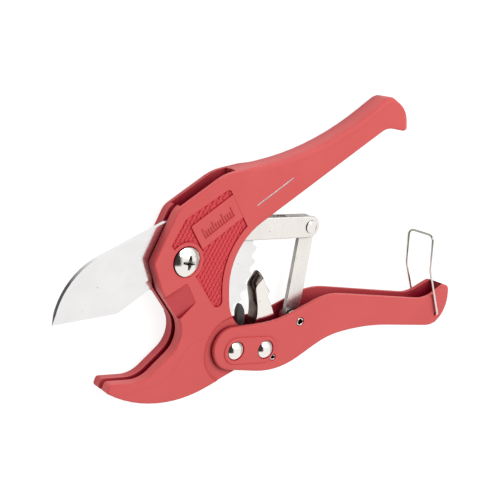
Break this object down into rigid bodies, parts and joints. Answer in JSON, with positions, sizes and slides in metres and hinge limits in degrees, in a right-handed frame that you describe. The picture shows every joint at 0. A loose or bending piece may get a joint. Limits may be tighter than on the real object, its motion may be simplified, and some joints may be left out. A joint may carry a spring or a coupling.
{
  "type": "ratcheting pipe cutter",
  "caption": "Hand-held ratcheting cutter for plastic pipe: hooked jaw casting with a swinging blade, squeezed by a toggle-linked lower handle, with a wire locking bail.",
  "frame": {"origin": "on the blade's pivot axis, on the surface that the tool lies on, which is the flat back face of the pivot post", "axes": "+X along the tool from the jaw and blade to the handle ends, +Y in the tool's plane towards the fixed upper grip, +Z square to the tool's plane, out of the side with the screw head"},
  "size_m": [0.2464, 0.1347, 0.0214],
  "materials": {
    "red_powder_coat": "satin powder coat with a fine grain",
    "polished_blade_steel": "ground and polished",
    "nickel_plate": "satin nickel plate",
    "bright_chrome": "bright",
    "black_oxide": "black oxide",
    "spring_steel": "drawn wire"
  },
  "bodies": {
    "body": {"body_casting": "red_powder_coat", "pivot_post": "bright_chrome", "pivot_screw": "bright_chrome"},
    "blade": {"blade": "polished_blade_steel", "blade_link_rivet": "bright_chrome"},
    "upper_link": {"upper_link": "nickel_plate", "link_knee_rivet": "bright_chrome"},
    "lower_link": {"lower_link": "nickel_plate"},
    "handle": {"lower_handle": "red_powder_coat", "handle_rivet": "bright_chrome", "pawl_rivet": "bright_chrome", "link_roll_pin": "bright_chrome", "spring_roll_pin": "bright_chrome", "link_spacer": "polished_blade_steel", "pawl_spacer": "polished_blade_steel", "pawl_spring": "spring_steel", "link_spring": "spring_steel"},
    "drive_pawl": {"drive_pawl": "bright_chrome"},
    "holding_pawl": {"holding_pawl": "black_oxide"},
    "bail": {"bail": "bright_chrome"}
  },
  "joints": [
    {"name": "handle_squeeze", "type": "hinge", "parent": "body", "child": "handle", "pos_m": [0.0263, -0.0508, 0.0102], "axis": [0, 0, 1], "range_deg": [0, 28], "stiffness_Nm_per_rad": 0.3, "springref_deg": -34.38},
    {"name": "blade_swing", "type": "hinge", "parent": "body", "child": "blade", "pos_m": [0, 0, 0.0102], "axis": [0, 0, 1], "range_deg": [0, 50]},
    {"name": "upper_link_swing", "type": "hinge", "parent": "blade", "child": "upper_link", "pos_m": [0.026, 0.01, 0.0102], "axis": [0, 0, 1], "range_deg": [-47.3, 0]},
    {"name": "lower_link_swing", "type": "hinge", "parent": "handle", "child": "lower_link", "pos_m": [0.0672, -0.0449, 0.0102], "axis": [0, 0, 1], "range_deg": [-17.8, 0]},
    {"name": "drive_pawl_swing", "type": "hinge", "parent": "handle", "child": "drive_pawl", "pos_m": [0.0446, -0.0546, 0.0102], "axis": [0, 0, 1], "range_deg": [-33.6, 0]},
    {"name": "holding_pawl_lift", "type": "hinge", "parent": "body", "child": "holding_pawl", "pos_m": [0.0263, -0.0508, 0.0102], "axis": [0, 0, 1], "range_deg": [-6, 0], "stiffness_Nm_per_rad": 0.02, "springref_deg": 11.46},
    {"name": "bail_swing", "type": "hinge", "parent": "handle", "child": "bail", "pos_m": [0.1696, -0.0642, 0.0102], "axis": [0, 0, 1], "range_deg": [-110, 50]}
  ],
  "couplings": [
    {"joint": "blade_swing", "follows": "handle_squeeze", "ratio": 1.7857},
    {"joint": "upper_link_swing", "follows": "handle_squeeze", "ratio": -1.6889},
    {"joint": "lower_link_swing", "follows": "handle_squeeze", "ratio": -0.6345},
    {"joint": "drive_pawl_swing", "follows": "handle_squeeze", "ratio": -1.2}
  ]
}
